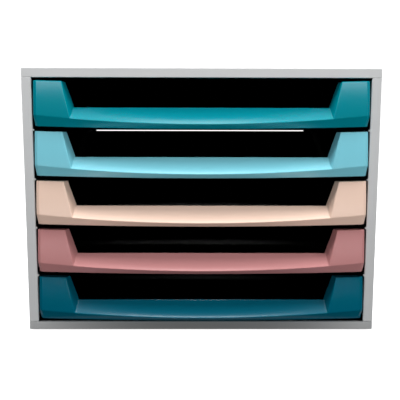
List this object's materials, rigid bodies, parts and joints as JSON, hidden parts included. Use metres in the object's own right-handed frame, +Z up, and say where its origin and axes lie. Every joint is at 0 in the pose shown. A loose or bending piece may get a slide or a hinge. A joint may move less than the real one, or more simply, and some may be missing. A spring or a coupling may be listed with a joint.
{
  "type": "desktop drawer unit",
  "caption": "Wide desktop drawer unit: a light grey plastic casing with stacked open-front drawers, each a black tray with a coloured front that slides out on moulded ledges.",
  "frame": {"origin": "middle of the unit's bounding box, on the surface that its rubber feet stand on", "axes": "+X to the right seen from the front, +Y towards the back, +Z up; the drawers open towards -Y"},
  "size_m": [0.355, 0.275, 0.2668],
  "materials": {
    "casing_plastic": "satin light grey moulded plastic",
    "tray_plastic": "fine matt black moulded plastic",
    "front_turquoise": "satin gloss coloured plastic",
    "front_pale_turquoise": "satin gloss coloured plastic",
    "front_peach": "satin gloss coloured plastic",
    "front_dusty_pink": "satin gloss coloured plastic",
    "front_petrol_blue": "satin gloss coloured plastic",
    "screw_steel": "zinc plated",
    "foot_rubber": "matt"
  },
  "bodies": {
    "casing": {"top_panel": "casing_plastic", "bottom_panel": "casing_plastic", "left_side_panel": "casing_plastic", "right_side_panel": "casing_plastic", "back_panel": "casing_plastic", "casing_screws": "screw_steel", "back_screws": "screw_steel", "rubber_feet": "foot_rubber"},
    "drawer_1": {"drawer_1_front": "front_turquoise", "drawer_1_tray": "tray_plastic", "drawer_1_screws": "screw_steel"},
    "drawer_2": {"drawer_2_front": "front_pale_turquoise", "drawer_2_tray": "tray_plastic", "drawer_2_screws": "screw_steel"},
    "drawer_3": {"drawer_3_front": "front_peach", "drawer_3_tray": "tray_plastic", "drawer_3_screws": "screw_steel"},
    "drawer_4": {"drawer_4_front": "front_dusty_pink", "drawer_4_tray": "tray_plastic", "drawer_4_screws": "screw_steel"},
    "drawer_5": {"drawer_5_front": "front_petrol_blue", "drawer_5_tray": "tray_plastic", "drawer_5_screws": "screw_steel"}
  },
  "joints": [
    {"name": "drawer_1_slide", "type": "slide", "parent": "casing", "child": "drawer_1", "axis": [0, -1, 0], "range_m": [0, 0.1936]},
    {"name": "drawer_2_slide", "type": "slide", "parent": "casing", "child": "drawer_2", "axis": [0, -1, 0], "range_m": [0, 0.1936]},
    {"name": "drawer_3_slide", "type": "slide", "parent": "casing", "child": "drawer_3", "axis": [0, -1, 0], "range_m": [0, 0.1936]},
    {"name": "drawer_4_slide", "type": "slide", "parent": "casing", "child": "drawer_4", "axis": [0, -1, 0], "range_m": [0, 0.1936]},
    {"name": "drawer_5_slide", "type": "slide", "parent": "casing", "child": "drawer_5", "axis": [0, -1, 0], "range_m": [0, 0.1936]}
  ]
}
